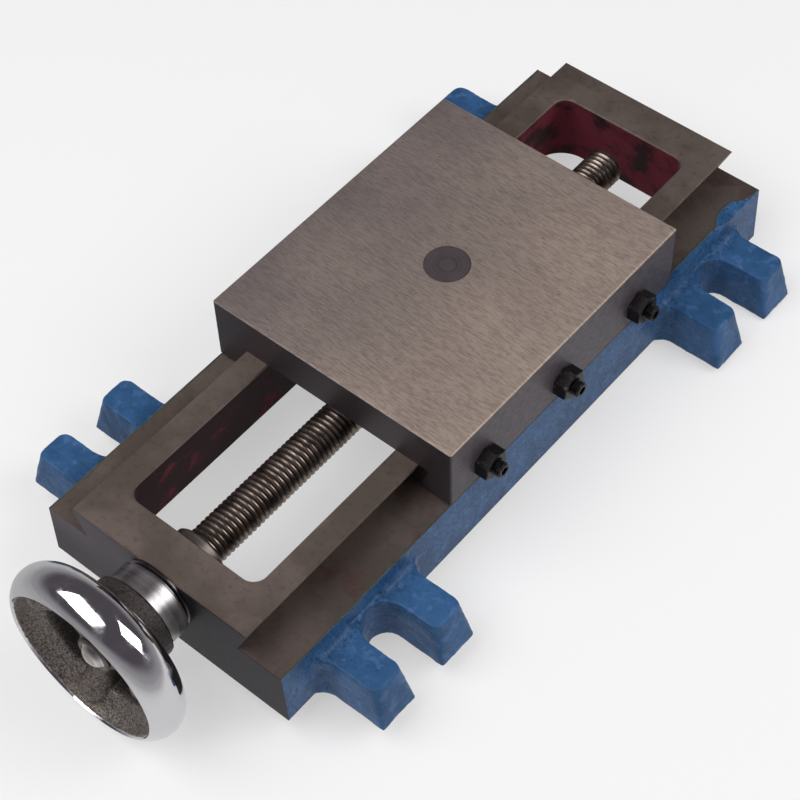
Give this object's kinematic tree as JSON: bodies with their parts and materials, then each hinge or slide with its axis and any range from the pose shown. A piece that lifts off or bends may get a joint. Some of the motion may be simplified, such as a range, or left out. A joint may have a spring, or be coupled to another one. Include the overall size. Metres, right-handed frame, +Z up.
{
  "type": "cross slide table",
  "caption": "Small single-axis dovetail cross slide: blue cast base with open bolt slots, ground rectangular table, leadscrew and dished chromed handwheel.",
  "frame": {"origin": "middle of the base's underside, between the four bolt slots", "axes": "+Y along the leadscrew away from the handwheel, +X to the side with the gib screws, +Z up through the table's top"},
  "size_m": [0.1524, 0.2915, 0.0675],
  "materials": {
    "blue_painted_casting": "blue paint over rough casting, machined faces left bare",
    "ground_cast_iron": "ground, fine straight marks",
    "dark_turned_iron": "turned, darkened",
    "ground_steel": "ground",
    "dark_screw_steel": "oiled, brown-black",
    "bright_steel": "bright turned",
    "black_steel": "black oxide",
    "chromed_casting": "polished and chromed rim, inside left rough"
  },
  "bodies": {
    "base": {"base_casting": "blue_painted_casting", "front_bearing_bush": "dark_turned_iron"},
    "table": {"sliding_table": "ground_cast_iron", "gib_strip": "ground_steel", "gib_screw_front": "black_steel", "gib_screw_middle": "black_steel", "gib_screw_rear": "black_steel", "gib_locknut_front": "black_steel", "gib_locknut_middle": "black_steel", "gib_locknut_rear": "black_steel", "leadscrew_nut": "dark_turned_iron"},
    "screw": {"leadscrew": "dark_screw_steel", "inner_thrust_collar": "bright_steel", "collar_pin": "ground_steel", "thrust_washer": "ground_steel", "thrust_collar": "bright_steel", "collar_set_screw": "black_steel", "handwheel": "chromed_casting", "wheel_key": "ground_steel", "wheel_washer": "bright_steel", "wheel_screw": "bright_steel"}
  },
  "joints": [
    {"name": "screw_turn", "type": "hinge", "parent": "base", "child": "screw", "pos_m": [0, -0.1221, 0.02416], "axis": [0, 1, 0], "range_deg": [-9900, 14400]},
    {"name": "table_slide", "type": "slide", "parent": "base", "child": "table", "axis": [0, 1, 0], "range_m": [-0.08, 0.055]}
  ],
  "couplings": [
    {"joint": "table_slide", "follows": "screw_turn", "m_per_rad": -0.00031831}
  ]
}
